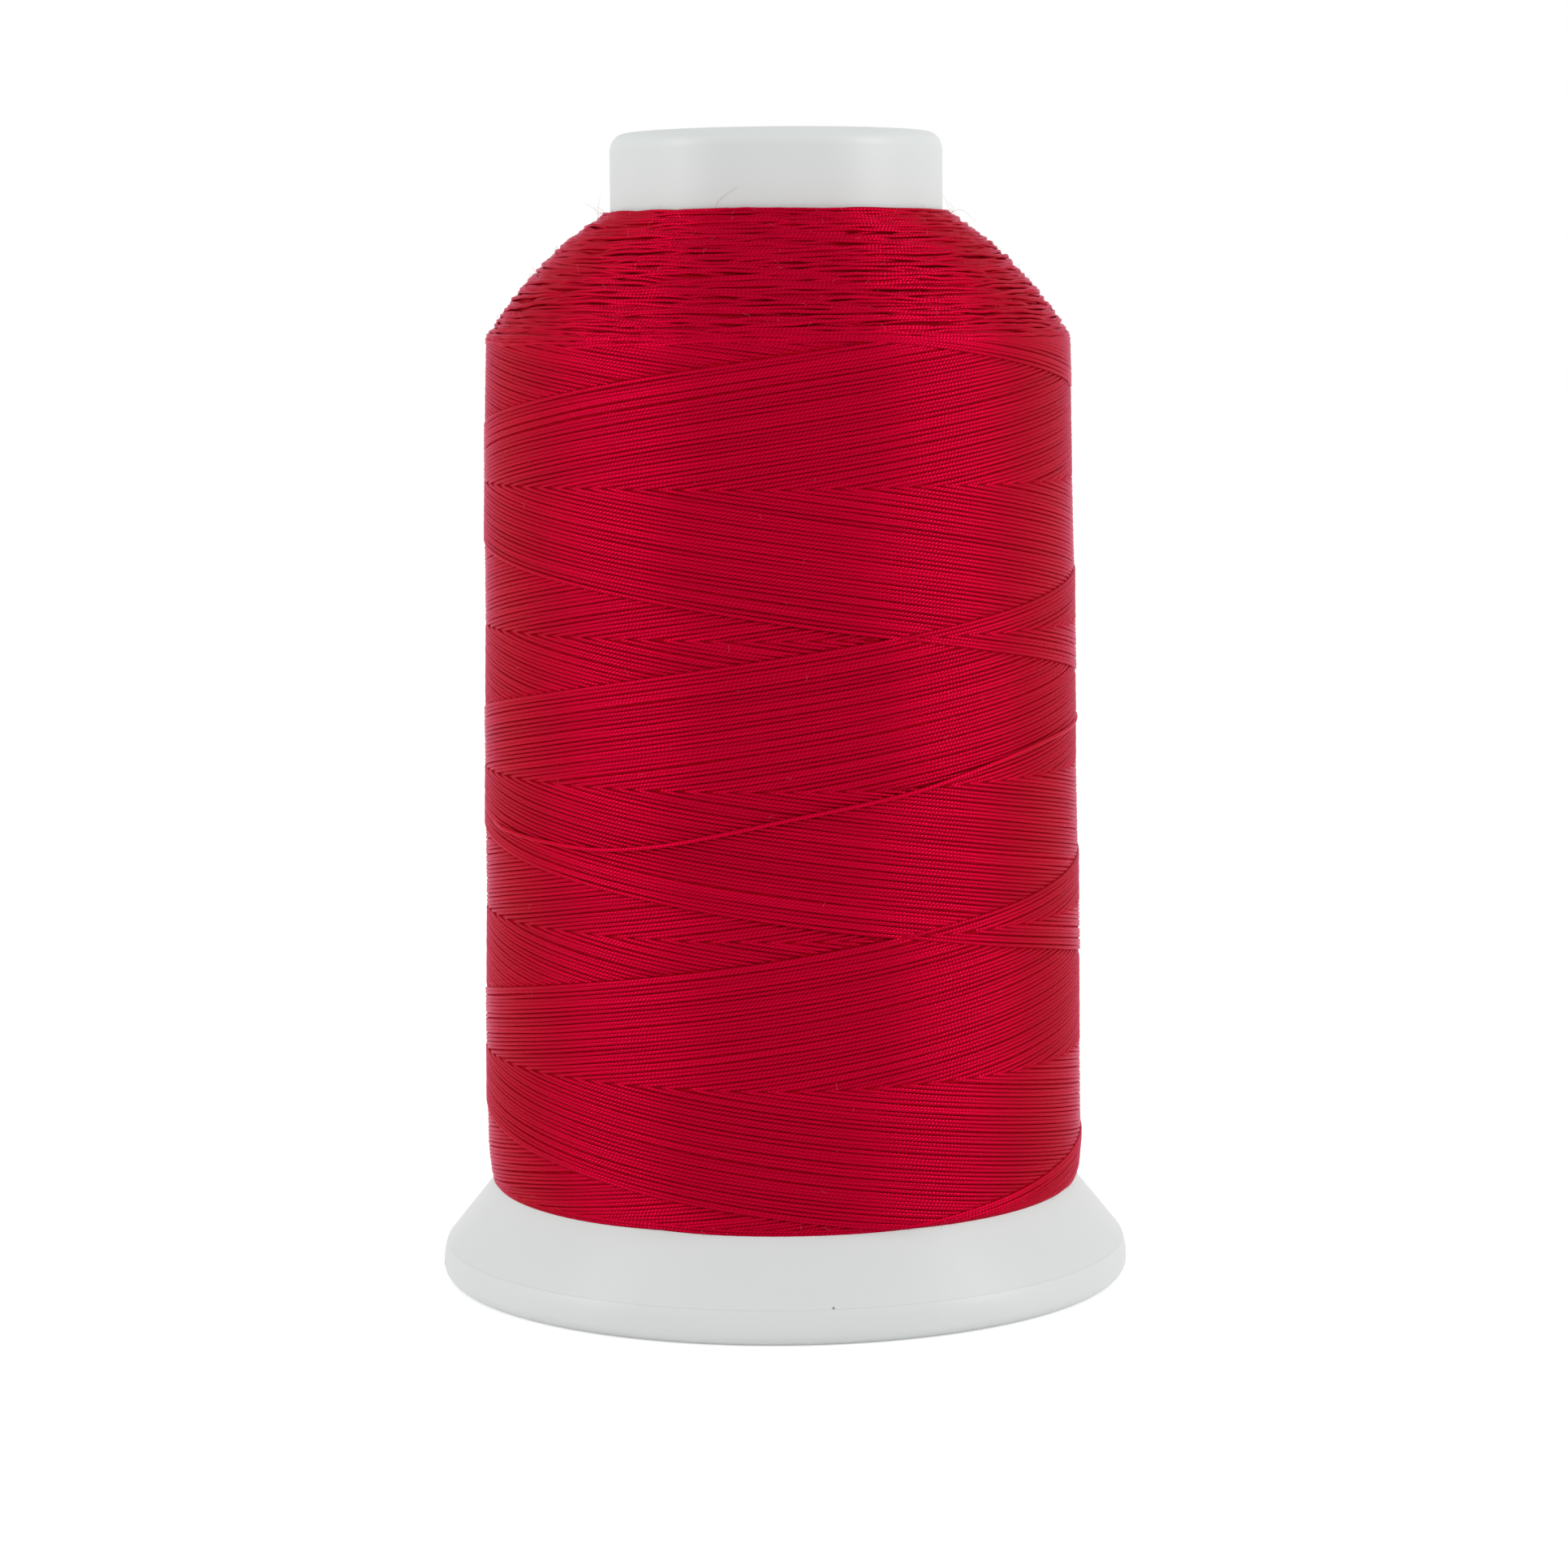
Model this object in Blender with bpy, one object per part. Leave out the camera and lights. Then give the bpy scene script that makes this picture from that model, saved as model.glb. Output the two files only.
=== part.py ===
"""Spool of sewing thread on a snap-foot barrel, in metres with +Z up.

The spool stands on its foot with the origin at the middle of the footprint. The barrel is a
hollow tube that flares into a base cone. The foot is a separate moulding whose sleeve slides in
the barrel's bore: pulling it down opens the seam round the base, where the thread's end is
pinched, and pushing it up shuts the seam. The thread is wound on the barrel, from the cone up to
a sloping shoulder just under the collar.
"""

import math

import bmesh
import bpy
import numpy as np
from mathutils import Matrix, Vector
from mathutils.geometry import interpolate_bezier

MM = 0.001

# Clearance between pieces that touch or slide on each other.
FIT_GAP = 0.3 * MM

# Barrel: the tube, its open top and the cone that it flares into.
SPOOL_HEIGHT = 69.9 * MM
TUBE_RADIUS = 10.1 * MM
TUBE_WALL = 1.4 * MM
COLLAR_FILLET = 0.55 * MM
CONE_SLOPE = math.radians(51.2)
CONE_WALL = 1.4 * MM
SEAM_RADIUS = 21.0 * MM
SEAM_HEIGHT = 2.1 * MM

# Foot: the rim below the seam, the recessed plate and the sleeve with its snap fingers.
RIM_BULGE = 0.25 * MM
BULGE_HEIGHT = 0.75 * MM
SOLE_INSET = 0.45 * MM
SOLE_WIDTH = 2.2 * MM
SOLE_RECESS = 0.5 * MM
PLATE_THICKNESS = 1.0 * MM
LIP_WIDTH = 1.8 * MM
SLEEVE_WALL = 1.2 * MM
SNAP_TRAVEL = 2.0 * MM
BEAD_HEIGHT = 1.3 * MM
BEAD_DEPTH = 0.55 * MM
BEAD_CHAMFER = 0.4 * MM
GROOVE_RISE = 1.2 * MM
SLOT_COUNT = 4
SLOT_WIDTH = 1.6 * MM
SLOT_DEPTH = 9.0 * MM

# Wound thread: the outer surface of the package, and the thick turns of its outer layer.
CONE_SHOWN = 2.9 * MM
LOWER_EDGE_SWELL = 0.3 * MM
LOWER_EDGE_RISE = 2.4 * MM
SIDE_TAPER = 0.65 * MM
COLLAR_SHOWN = 4.75 * MM
SHOULDER_HEIGHT = 7.25 * MM
SHOULDER_LOW_SLOPE = math.radians(54)
SHOULDER_HIGH_SLOPE = math.radians(31)
SHOULDER_POINTS = 7
TURN_DIAMETER = 1.84 * MM
TURN_GAP = 0.52 * MM
TURN_POINTS = 24
FIRST_TURN_ANGLE = math.radians(90)

# Facets round the axis, and steps in each rounded edge.
MOULDED_SEGMENTS = 72
PACKAGE_SEGMENTS = 60
EDGE_STEPS = 4
SHARP_ANGLE = math.radians(30)

# Linear colours.
WHITE_PLASTIC = (0.66, 0.68, 0.67, 1.0)
CRIMSON_THREAD = (0.49, 0.004, 0.024, 1.0)


def clear_scene():
    """Remove every object, so the script gives the same result each run."""
    for old in list(bpy.data.objects):
        bpy.data.objects.remove(old, do_unlink=True)


def make_material(name, colour, roughness, metallic=0.0):
    """Return a new Principled material."""
    material = bpy.data.materials.new(name)
    material.use_nodes = True
    shader = material.node_tree.nodes["Principled BSDF"]
    shader.inputs["Base Color"].default_value = colour
    shader.inputs["Roughness"].default_value = roughness
    shader.inputs["Metallic"].default_value = metallic
    return material


def link_object(name, data, material):
    """Put an object in the scene with its one material."""
    data.materials.append(material)
    made = bpy.data.objects.new(name, data)
    bpy.context.collection.objects.link(made)
    return made


def turned_solid(name, outline, segments, material):
    """Spin a closed outline of (radius, height) points round the Z axis."""
    shape = bmesh.new()
    ring = [shape.verts.new((radius, 0.0, height)) for radius, height in outline]
    for start, end in zip(ring, ring[1:] + ring[:1]):
        shape.edges.new((start, end))
    bmesh.ops.spin(
        shape,
        geom=shape.verts[:] + shape.edges[:],
        cent=(0.0, 0.0, 0.0),
        axis=(0.0, 0.0, 1.0),
        angle=math.tau,
        steps=segments,
        use_merge=True,
    )
    bmesh.ops.recalc_face_normals(shape, faces=shape.faces[:])
    mesh = bpy.data.meshes.new(name)
    shape.to_mesh(mesh)
    shape.free()
    mesh.shade_smooth()
    mesh.set_sharp_from_angle(angle=SHARP_ANGLE)
    return link_object(name, mesh, material)


def ellipse_points(centre, reach, start, end, steps):
    """Points on an upright ellipse, from the start angle to the end angle, both included."""
    angles = [start + (end - start) * step / steps for step in range(steps + 1)]
    return [
        (centre[0] + reach[0] * math.cos(angle), centre[1] + reach[1] * math.sin(angle))
        for angle in angles
    ]


def cone_height(radius, clearance=0.0):
    """Height at which a point of this radius lies this clear of the base cone."""
    rise = (SEAM_RADIUS - radius) * math.tan(CONE_SLOPE)
    return SEAM_HEIGHT + rise + clearance / math.cos(CONE_SLOPE)


def bore_radius():
    """Inner radius of the barrel's tube."""
    return TUBE_RADIUS - TUBE_WALL


def groove_bottom():
    """Height of the lower end of the groove that the snap bead runs in."""
    return cone_height(TUBE_RADIUS) + GROOVE_RISE


def groove_top():
    """Height of the upper end of that groove: the bead, its travel and a clearance each way."""
    return groove_bottom() + BEAD_HEIGHT + SNAP_TRAVEL + 2 * FIT_GAP


def sleeve_radius():
    """Outer radius of the foot's sleeve, which slides in the bore."""
    return bore_radius() - FIT_GAP


def make_barrel(material):
    """Tube, base cone and, inside the tube, the groove that keeps the foot captive."""
    seam_face = SEAM_HEIGHT + FIT_GAP / 2
    cone_foot = SEAM_RADIUS - FIT_GAP / 2 / math.tan(CONE_SLOPE)
    wall_across = CONE_WALL / math.sin(CONE_SLOPE)
    bore = bore_radius()
    bore_foot = cone_height(bore + wall_across)
    groove = sleeve_radius() + BEAD_DEPTH + FIT_GAP
    outline = ellipse_points(
        (TUBE_RADIUS - COLLAR_FILLET, SPOOL_HEIGHT - COLLAR_FILLET),
        (COLLAR_FILLET, COLLAR_FILLET),
        math.pi / 2,
        0.0,
        EDGE_STEPS,
    )
    outline += [
        (TUBE_RADIUS, cone_height(TUBE_RADIUS)),
        (cone_foot, seam_face),
        (cone_foot - wall_across, seam_face),
        (bore, bore_foot),
        (bore, groove_bottom()),
        (groove, groove_bottom()),
        (groove, groove_top()),
        (bore, groove_top()),
    ]
    outline += ellipse_points(
        (bore + COLLAR_FILLET / 2, SPOOL_HEIGHT - COLLAR_FILLET / 2),
        (COLLAR_FILLET / 2, COLLAR_FILLET / 2),
        math.pi,
        math.pi / 2,
        EDGE_STEPS // 2,
    )
    return turned_solid("spool_barrel", outline, MOULDED_SEGMENTS, material)


def sole_radius():
    """Outer radius of the flat ring that the foot stands on."""
    return SEAM_RADIUS - SOLE_INSET


def rim_outline(lip_face):
    """Rounded outside of the foot's rim, from its lip at the seam down to the sole."""
    overhang = SOLE_INSET + RIM_BULGE
    lip_angle = math.acos(SOLE_INSET / overhang)
    upper_reach = (lip_face - BULGE_HEIGHT) / math.sin(lip_angle)
    centre = (sole_radius(), BULGE_HEIGHT)
    upper = ellipse_points(centre, (overhang, upper_reach), lip_angle, 0.0, EDGE_STEPS)
    lower = ellipse_points(centre, (overhang, BULGE_HEIGHT), 0.0, -math.pi / 2, EDGE_STEPS)
    return upper + lower[1:]


def make_slot_cutter(top, bottom):
    """Blocks that slit the sleeve into snap fingers; a guide, not a piece."""
    reach = sleeve_radius() + BEAD_DEPTH + FIT_GAP
    inner = sleeve_radius() - SLEEVE_WALL - FIT_GAP
    shape = bmesh.new()
    for index in range(SLOT_COUNT):
        block = bmesh.ops.create_cube(shape, size=1.0)["verts"]
        bmesh.ops.scale(shape, verts=block, vec=(reach - inner, SLOT_WIDTH, top - bottom))
        bmesh.ops.translate(
            shape, verts=block, vec=((reach + inner) / 2, 0.0, (top + bottom) / 2)
        )
        turn = Matrix.Rotation(math.tau * index / SLOT_COUNT, 3, "Z")
        bmesh.ops.rotate(shape, verts=block, cent=(0.0, 0.0, 0.0), matrix=turn)
    bmesh.ops.recalc_face_normals(shape, faces=shape.faces[:])
    mesh = bpy.data.meshes.new("slot_cutter")
    shape.to_mesh(mesh)
    shape.free()
    cutter = bpy.data.objects.new("slot_cutter", mesh)
    bpy.context.collection.objects.link(cutter)
    cutter.hide_render = True
    cutter.display_type = "WIRE"
    return cutter


def make_foot(material):
    """Rim, recessed plate and slotted sleeve, one moulding that slides in the barrel."""
    lip_face = SEAM_HEIGHT - FIT_GAP / 2
    plate_top = SOLE_RECESS + PLATE_THICKNESS
    outer = sleeve_radius()
    inner = outer - SLEEVE_WALL
    bead = outer + BEAD_DEPTH
    tip = groove_top() - FIT_GAP
    outline = [
        (inner, tip),
        (bead - BEAD_CHAMFER, tip),
        (bead, tip - BEAD_CHAMFER),
        (bead, tip - BEAD_HEIGHT + BEAD_CHAMFER),
        (outer, tip - BEAD_HEIGHT),
        (outer, plate_top),
        (SEAM_RADIUS - LIP_WIDTH, plate_top),
        (SEAM_RADIUS - LIP_WIDTH, lip_face),
    ]
    outline += rim_outline(lip_face)
    outline += [
        (sole_radius() - SOLE_WIDTH, 0.0),
        (sole_radius() - SOLE_WIDTH, SOLE_RECESS),
        (inner, SOLE_RECESS),
    ]
    foot = turned_solid("snap_foot", outline, MOULDED_SEGMENTS, material)
    slots = foot.modifiers.new("finger_slots", "BOOLEAN")
    slots.operation = "DIFFERENCE"
    slots.solver = "EXACT"
    slots.object = make_slot_cutter(tip + FIT_GAP, tip - SLOT_DEPTH)
    return foot


def package_outline(depth, clearance):
    """Outline of the wound thread, or the parallel one this deep inside it.

    It runs from the base cone up to the tube, and both ends lie this clear of the barrel.
    """
    edge_radius = SEAM_RADIUS - CONE_SHOWN - depth
    low_radius = edge_radius + LOWER_EDGE_SWELL
    edge_height = cone_height(edge_radius, clearance)
    bend = math.pi / 2 - SHOULDER_LOW_SLOPE
    collar_edge = SPOOL_HEIGHT - COLLAR_SHOWN
    side_height = collar_edge - SHOULDER_HEIGHT - depth * math.tan(bend / 2)
    outward = (clearance - FIT_GAP) * math.tan(SHOULDER_HIGH_SLOPE)
    top_height = collar_edge - outward - depth / math.cos(SHOULDER_HIGH_SLOPE)
    shoulder = Vector((low_radius - SIDE_TAPER, side_height))
    top = Vector((TUBE_RADIUS + clearance, top_height))
    reach = (top - shoulder).length / 3
    low_slope = Vector((-math.cos(SHOULDER_LOW_SLOPE), math.sin(SHOULDER_LOW_SLOPE)))
    high_slope = Vector((-math.cos(SHOULDER_HIGH_SLOPE), math.sin(SHOULDER_HIGH_SLOPE)))
    low_handle = shoulder + reach * low_slope
    high_handle = top - reach * high_slope
    curve = interpolate_bezier(shoulder, low_handle, high_handle, top, SHOULDER_POINTS)
    side = [(edge_radius, edge_height), (low_radius, edge_height + LOWER_EDGE_RISE)]
    return side + [(point.x, point.y) for point in curve]


def make_thread_core(material):
    """The wound thread under its outer layer, as a plain turned body."""
    surface = package_outline(TURN_DIAMETER + FIT_GAP, FIT_GAP)
    inner = TUBE_RADIUS + FIT_GAP
    outline = [(inner, cone_height(inner, FIT_GAP))] + surface
    return turned_solid("thread_core", outline, PACKAGE_SEGMENTS, material)


def turn_path():
    """Centre line of the outer layer: one unbroken strand that climbs from cone to collar."""
    track = np.array(package_outline(TURN_DIAMETER / 2, TURN_DIAMETER / 2 + FIT_GAP))
    lengths = np.linalg.norm(np.diff(track, axis=0), axis=1)
    travelled = np.concatenate([[0.0], np.cumsum(lengths)])
    turns = int(travelled[-1] / (TURN_DIAMETER + TURN_GAP))
    share = np.linspace(0.0, 1.0, turns * TURN_POINTS + 1)
    radius = np.interp(share * travelled[-1], travelled, track[:, 0])
    height = np.interp(share * travelled[-1], travelled, track[:, 1])
    angle = FIRST_TURN_ANGLE + share * turns * math.tau
    path = np.stack([radius * np.cos(angle), radius * np.sin(angle), height], axis=1)
    first = straight_end(path[1], path[0])
    last = straight_end(path[-2], path[-1])
    return np.concatenate([[first], path, [last]])


def straight_end(before, last):
    """Point that carries an end straight on for one strand diameter."""
    ahead = (last - before) / np.linalg.norm(last - before)
    return last + TURN_DIAMETER * ahead


def least_turn_gap(path):
    """Least gap between the strand and itself, over points half a turn or more apart."""
    least = math.inf
    for index in range(len(path) - TURN_POINTS // 2):
        others = path[index + TURN_POINTS // 2:]
        least = min(least, np.linalg.norm(others - path[index], axis=1).min())
    return least - TURN_DIAMETER


def make_outer_layer(material):
    """Outer layer of turns: one tube wound side by side over the core."""
    path = turn_path()
    print(f"least gap between turns: {least_turn_gap(path) / MM:.2f} mm")
    strand = bpy.data.curves.new("thread_outer_layer", "CURVE")
    strand.dimensions = "3D"
    strand.twist_mode = "Z_UP"
    strand.bevel_depth = TURN_DIAMETER / 2
    strand.bevel_resolution = 1
    strand.use_fill_caps = True
    spline = strand.splines.new("POLY")
    spline.points.add(len(path) - 1)
    for point, place in zip(spline.points, path):
        point.co = (*place, 1.0)
        point.radius = 1.0
    return link_object("thread_outer_layer", strand, material)


def main():
    """Build the four pieces of the spool."""
    clear_scene()
    barrel_plastic = make_material("barrel_plastic", WHITE_PLASTIC, 0.38)
    foot_plastic = make_material("foot_plastic", WHITE_PLASTIC, 0.38)
    core_thread = make_material("core_thread", CRIMSON_THREAD, 0.85)
    layer_thread = make_material("layer_thread", CRIMSON_THREAD, 0.8)
    barrel = make_barrel(barrel_plastic)
    core = make_thread_core(core_thread)
    layer = make_outer_layer(layer_thread)
    core.parent = barrel
    layer.parent = core
    foot_slide = bpy.data.objects.new("foot_slide", None)
    bpy.context.collection.objects.link(foot_slide)
    make_foot(foot_plastic).parent = foot_slide


main()
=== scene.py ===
"""Spool of crimson sewing thread on a white moulded barrel with a snap foot.

The barrel and the foot are turned ring by ring. The thread is laid strand by strand in the order
that a precision winder lays it: rising and falling strands cross, and at each place the younger
family hides the older one. Lengths in the classes are in millimetres, and angles round the spool
are counted from the front, towards the right.
"""

import logging
import math
from collections.abc import Iterator
from dataclasses import dataclass, field
from enum import Enum

import bpy
import numpy as np
from mathutils import Matrix, Vector


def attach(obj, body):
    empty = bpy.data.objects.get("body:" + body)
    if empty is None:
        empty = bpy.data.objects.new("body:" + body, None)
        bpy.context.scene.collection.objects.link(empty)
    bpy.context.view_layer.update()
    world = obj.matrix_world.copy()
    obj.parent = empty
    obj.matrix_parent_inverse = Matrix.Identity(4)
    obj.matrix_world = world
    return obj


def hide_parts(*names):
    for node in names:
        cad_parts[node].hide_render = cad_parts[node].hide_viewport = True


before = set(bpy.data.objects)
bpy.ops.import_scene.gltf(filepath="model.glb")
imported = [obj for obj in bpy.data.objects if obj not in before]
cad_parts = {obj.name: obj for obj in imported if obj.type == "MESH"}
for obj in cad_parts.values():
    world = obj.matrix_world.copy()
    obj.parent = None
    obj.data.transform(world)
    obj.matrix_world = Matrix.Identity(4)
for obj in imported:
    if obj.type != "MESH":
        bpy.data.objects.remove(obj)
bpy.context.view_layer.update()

MM = 0.001
SPOOL = "spool"
FOOT = "foot"
STRAND_MAP = "strand"
TONE = "tone"
WHITE = (1.0, 1.0, 1.0, 1.0)
BEND = 32.0  # least bend, in degrees, of an edge of a moulding that is broken
BEND_STEPS = 3
PEG_SIDES = 32
WAVE_COUNT = 3
WAVE_LEVEL = 1.7  # brings the sum of that many waves back to the reach of one
BAND_PERIOD = 0.314  # metres from band to band of a wave texture whose scale is 1

log = logging.getLogger("spool")

Array = np.ndarray
Draws = np.random.Generator
Finish = bpy.types.Material
Piece = bpy.types.Object
Socket = bpy.types.NodeSocket
Tree = bpy.types.NodeTree
Pair = tuple[float, float]
Triple = tuple[float, float, float]
Outline = list[Pair]
Wander = tuple[float, Pair]  # how far a strand wanders, and its shortest and longest wave


class Family(Enum):
    """The two ways that a strand runs round the package, seen from the front."""

    RISING = 1
    FALLING = -1


# ---------------------------------------------------------------- small helpers


def linear(hex_colour: str) -> tuple[float, float, float, float]:
    """Turn an sRGB colour into linear light.

    Args:
        hex_colour: Six hex digits after a hash.

    Returns:
        Red, green, blue and an alpha of 1.
    """
    channels = []
    for start in (1, 3, 5):
        value = int(hex_colour[start:start + 2], 16) / 255
        low = value / 12.92
        high = ((value + 0.055) / 1.055) ** 2.4
        channels.append(low if value <= 0.04045 else high)
    return (*channels, 1.0)


def feed(tree: Tree, node: bpy.types.Node, sockets: dict) -> None:
    """Feed a node's inputs.

    Args:
        tree: Node tree that the node is in.
        node: The node.
        sockets: For each input, by name or number, a value or the output that feeds it.
    """
    for name, value in sockets.items():
        if isinstance(value, Socket):
            tree.links.new(value, node.inputs[name])
        else:
            node.inputs[name].default_value = value


def add_node(
    tree: Tree, kind: str, sockets: dict | None = None, output: int | str = 0, **settings: object
) -> Socket | None:
    """Add a shader node with its settings and links.

    Args:
        tree: Node tree that the node goes into.
        kind: Blender's name for the node type, without the ShaderNode in front.
        sockets: For each input, by name or number, a value or the output that feeds it.
        output: Name or number of the output that is used.
        **settings: Properties of the node.

    Returns:
        That output, or None from a node that has none.
    """
    node = tree.nodes.new("ShaderNode" + kind)
    for name, value in settings.items():
        setattr(node, name, value)
    feed(tree, node, sockets or {})
    return node.outputs[output] if len(node.outputs) else None


def new_surface(name: str) -> tuple[Finish, Tree, bpy.types.Node]:
    """Start a material.

    Args:
        name: What the real material is and how it was made.

    Returns:
        The material, its node tree and its Principled shader.
    """
    material = bpy.data.materials.new(name)
    material.use_nodes = True
    tree = material.node_tree
    return material, tree, tree.nodes["Principled BSDF"]


def arc_points(centre: Pair, reach: Pair, start: float, end: float, steps: int) -> Outline:
    """Points on an upright ellipse.

    Args:
        centre: Radius and height of its middle.
        reach: Half its width and half its height.
        start: First angle in degrees.
        end: Last angle in degrees.
        steps: Number of steps between them.

    Returns:
        The points, with both ends.
    """
    angles = np.radians(np.linspace(start, end, steps + 1))
    radii = centre[0] + reach[0] * np.cos(angles)
    heights = centre[1] + reach[1] * np.sin(angles)
    return list(zip(radii.tolist(), heights.tolist()))


def turn_outline(name: str, outline: Outline, segments: int) -> Piece:
    """Turn a closed outline about the bore's axis, ring by ring, as on a lathe.

    Args:
        name: Name of the new object.
        outline: Closed loop of radius and height.
        segments: Facets round the axis.

    Returns:
        The turned object, with its place in its mesh.
    """
    bpy.ops.object.select_all(action="DESELECT")
    radius, height = outline[0]
    bpy.ops.mesh.primitive_circle_add(
        vertices=segments, radius=radius * MM, location=(0, 0, height * MM), fill_type="NOTHING"
    )
    made = bpy.context.object
    made.name = name
    made.data.name = name
    bpy.ops.object.mode_set(mode="EDIT")
    bpy.ops.mesh.select_all(action="SELECT")
    for next_radius, next_height in outline[1:] + outline[:1]:
        rise = (next_height - height) * MM
        ratio = next_radius / radius
        bpy.ops.mesh.extrude_edges_move(TRANSFORM_OT_translate={"value": (0, 0, rise)})
        bpy.ops.transform.resize(value=(ratio, ratio, 1), center_override=(0, 0, 0))
        radius, height = next_radius, next_height
    bpy.ops.mesh.select_all(action="SELECT")
    bpy.ops.mesh.remove_doubles(threshold=1e-6)
    bpy.ops.mesh.normals_make_consistent(inside=False)
    bpy.ops.object.mode_set(mode="OBJECT")
    bpy.ops.object.transform_apply(location=True, rotation=True, scale=True)
    return made


def shape(piece: Piece, kind: str, **settings: object) -> None:
    """Put a modifier on a piece and apply it.

    Args:
        piece: Object that is shaped.
        kind: Blender's name for the modifier type.
        **settings: Properties of the modifier.
    """
    bpy.ops.object.select_all(action="DESELECT")
    bpy.context.view_layer.objects.active = piece
    piece.select_set(True)
    modifier = piece.modifiers.new(kind.lower(), kind)
    for name, value in settings.items():
        setattr(modifier, name, value)
    bpy.ops.object.modifier_apply(modifier=modifier.name)


def cut_away(piece: Piece, cutter: Piece) -> None:
    """Cut one object out of another and remove the cutter.

    Args:
        piece: Object that is cut.
        cutter: Closed shape of the space that is left.
    """
    shape(piece, "BOOLEAN", operation="DIFFERENCE", solver="EXACT", object=cutter)
    bpy.data.objects.remove(cutter)


def round_edges(piece: Piece, width: float) -> None:
    """Break the sharp edges of a moulding, then shade it.

    Args:
        piece: Object that is rounded.
        width: Width of the rounding.
    """
    bend = math.radians(BEND)
    shape(
        piece,
        "BEVEL",
        limit_method="ANGLE",
        angle_limit=bend,
        width=width * MM,
        segments=BEND_STEPS,
    )
    bpy.ops.object.shade_smooth_by_angle(angle=bend)


def upright_peg(radius: float, low: float, high: float, place: Vector) -> Piece:
    """Upright round cutter.

    Args:
        radius: Its radius.
        low: Height of its lower end.
        high: Height of its upper end.
        place: Its middle, seen from above, in millimetres.

    Returns:
        The cutter.
    """
    bpy.ops.object.select_all(action="DESELECT")
    bpy.ops.mesh.primitive_cylinder_add(
        vertices=PEG_SIDES,
        radius=radius * MM,
        depth=(high - low) * MM,
        location=(place.x * MM, place.y * MM, (low + high) / 2 * MM),
    )
    return bpy.context.object


def block_cutter(size: Triple, place: Vector, turn: float) -> Piece:
    """Block-shaped cutter that stands out from the axis.

    Args:
        size: Its length outwards, its width and its height.
        place: Its middle before it is turned, in millimetres.
        turn: Degrees that it is turned about the axis.

    Returns:
        The cutter.
    """
    bpy.ops.object.select_all(action="DESELECT")
    bpy.ops.mesh.primitive_cube_add(size=MM, location=place * MM)
    cutter = bpy.context.object
    bpy.ops.object.mode_set(mode="EDIT")
    bpy.ops.mesh.select_all(action="SELECT")
    bpy.ops.transform.resize(value=size, center_override=place * MM)
    bpy.ops.object.mode_set(mode="OBJECT")
    bpy.ops.object.transform_apply(location=True, rotation=True, scale=True)
    cutter.data.transform(Matrix.Rotation(math.radians(turn), 4, "Z"))
    return cutter


def mesh_piece(name: str, corners: Array, faces: list) -> Piece:
    """Make a smooth object in the scene.

    Args:
        name: Its name.
        corners: Its corners, in millimetres.
        faces: The numbers of each face's corners.

    Returns:
        The object.
    """
    mesh = bpy.data.meshes.new(name)
    mesh.from_pydata(corners * MM, [], faces)
    mesh.shade_smooth()
    piece = bpy.data.objects.new(name, mesh)
    bpy.context.scene.collection.objects.link(piece)
    return piece


def put_on(piece: Piece, finish: Finish, body: str) -> None:
    """Give a piece its finish and its body.

    Args:
        piece: The piece.
        finish: Its material.
        body: The body that it rides on.
    """
    piece.data.materials.clear()
    piece.data.materials.append(finish)
    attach(piece, body)
    triangles = sum(len(face.vertices) - 2 for face in piece.data.polygons)
    log.info("%s: %d triangles on %s", piece.name, triangles, body)


def waves(along: Array, reach: float, lengths: Pair, rng: Draws) -> Array:
    """Slow wandering of a strand about its course.

    Args:
        along: Distances along the strand.
        reach: Usual size of the wandering.
        lengths: Shortest and longest wave.
        rng: Source of the draws.

    Returns:
        The wandering at each distance.
    """
    total = np.zeros_like(along)
    for length in rng.uniform(*lengths, WAVE_COUNT):
        total += np.sin(along * math.tau / length + rng.uniform(0, math.tau))
    return total * reach / WAVE_LEVEL


# ---------------------------------------------------------------- finishes


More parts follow.
